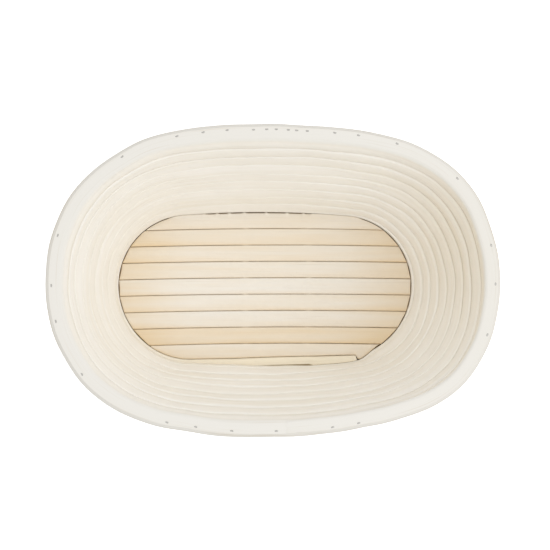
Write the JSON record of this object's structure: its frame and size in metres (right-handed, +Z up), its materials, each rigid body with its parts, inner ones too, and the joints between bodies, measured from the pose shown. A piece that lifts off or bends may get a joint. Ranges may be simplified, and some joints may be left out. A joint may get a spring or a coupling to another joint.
{
  "type": "proofing basket",
  "caption": "Oval proofing basket: a square rattan cane wound into a flared wall round a floor of parallel slats, nailed at the rim.",
  "frame": {"origin": "on the table, under the middle of the basket", "axes": "+X along the length, +Y to the back, away from the start of the cane, +Z up out of the mouth"},
  "size_m": [0.212, 0.145, 0.08],
  "materials": {
    "cane": "planed rattan, dry and matt",
    "slat": "planed rattan, satin",
    "brad": "bright wire, dulled"
  },
  "bodies": {
    "root": {"wall_cane": "cane", "floor_slat_1": "slat", "floor_slat_2": "slat", "floor_slat_3": "slat", "floor_slat_4": "slat", "floor_slat_5": "slat", "floor_slat_6": "slat", "floor_slat_7": "slat", "floor_slat_8": "slat", "floor_slat_9": "slat", "rim_brad_01": "brad", "rim_brad_02": "brad", "rim_brad_03": "brad", "rim_brad_04": "brad", "rim_brad_05": "brad", "rim_brad_06": "brad", "rim_brad_07": "brad", "rim_brad_08": "brad", "rim_brad_09": "brad", "rim_brad_10": "brad", "rim_brad_11": "brad", "rim_brad_12": "brad", "rim_brad_13": "brad", "rim_brad_14": "brad", "rim_brad_15": "brad", "rim_brad_16": "brad", "rim_brad_17": "brad", "rim_brad_18": "brad", "rim_brad_19": "brad", "rim_brad_20": "brad", "rim_brad_21": "brad", "rim_brad_22": "brad", "rim_brad_23": "brad", "rim_brad_24": "brad", "rim_brad_25": "brad", "rim_brad_26": "brad", "rim_brad_27": "brad", "floor_brad_left_2": "brad", "floor_brad_left_3": "brad", "floor_brad_left_4": "brad", "floor_brad_left_5": "brad", "floor_brad_left_6": "brad", "floor_brad_left_7": "brad", "floor_brad_left_8": "brad", "floor_brad_right_2": "brad", "floor_brad_right_3": "brad", "floor_brad_right_4": "brad", "floor_brad_right_5": "brad", "floor_brad_right_6": "brad", "floor_brad_right_7": "brad", "floor_brad_right_8": "brad", "cross_wire_1": "brad", "cross_wire_2": "brad"}
  },
  "joints": []
}
